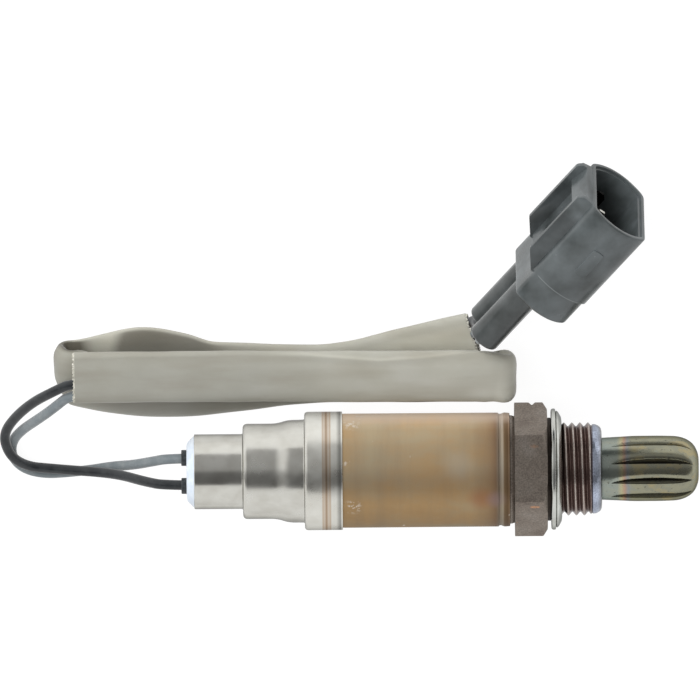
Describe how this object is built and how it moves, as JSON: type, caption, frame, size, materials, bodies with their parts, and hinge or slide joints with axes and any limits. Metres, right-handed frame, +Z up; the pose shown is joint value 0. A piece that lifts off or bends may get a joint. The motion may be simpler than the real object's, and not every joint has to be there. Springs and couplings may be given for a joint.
{
  "type": "oxygen sensor",
  "caption": "Exhaust oxygen sensor with a louvred tip, hexagon and screw thread, stepped steel shell, two leads in a folded flat heat sleeve, and a latching plug connector.",
  "frame": {"origin": "on the surface that the part lies on, under the middle of the sensor without its leads", "axes": "+X along the sensor's axis towards its tip, +Z up from the surface, +Y towards the connector"},
  "size_m": [0.1316, 0.075, 0.0253],
  "materials": {
    "oxidised_steel": "oxidised, satin",
    "tinted_steel": "heat tinted, brushed",
    "bright_steel": "drawn, bright",
    "gasket_steel": "folded sheet, bright",
    "louvre_steel": "oxidised, iridescent",
    "white_ptfe": "smooth, matt",
    "dark_rubber": "matt",
    "zirconia": "sintered",
    "talc": "pressed powder",
    "steatite": "sintered",
    "seal_copper": "soft, plain",
    "spring_steel": "ground",
    "nickel": "plated",
    "black_insulation": "smooth",
    "grey_insulation": "smooth",
    "sleeve_silicone": "coated glass braid, satin",
    "connector_plastic": "moulded, fine texture",
    "retainer_plastic": "moulded",
    "tinned_brass": "tinned",
    "seal_silicone": "moulded"
  },
  "bodies": {
    "root": {"protection_tube": "louvre_steel", "sensor_body": "oxidised_steel", "gasket": "gasket_steel", "protective_sleeve": "tinted_steel", "rear_shell": "bright_steel", "grommet": "white_ptfe", "lead_seal_grey": "dark_rubber", "lead_seal_black": "dark_rubber", "zirconia_thimble": "zirconia", "thimble_seal_ring": "seal_copper", "talc_ring": "talc", "support_tube": "steatite", "disc_spring": "spring_steel", "contact_bush": "nickel", "terminal_insulator": "steatite", "signal_terminal": "nickel", "ground_terminal": "nickel", "black_lead": "black_insulation", "grey_lead": "grey_insulation", "heat_sleeve": "sleeve_silicone", "connector_housing": "connector_plastic", "terminal_retainer": "retainer_plastic", "blade_terminal_1": "tinned_brass", "blade_terminal_2": "tinned_brass", "wire_seal_1": "seal_silicone", "wire_seal_2": "seal_silicone"}
  },
  "joints": []
}
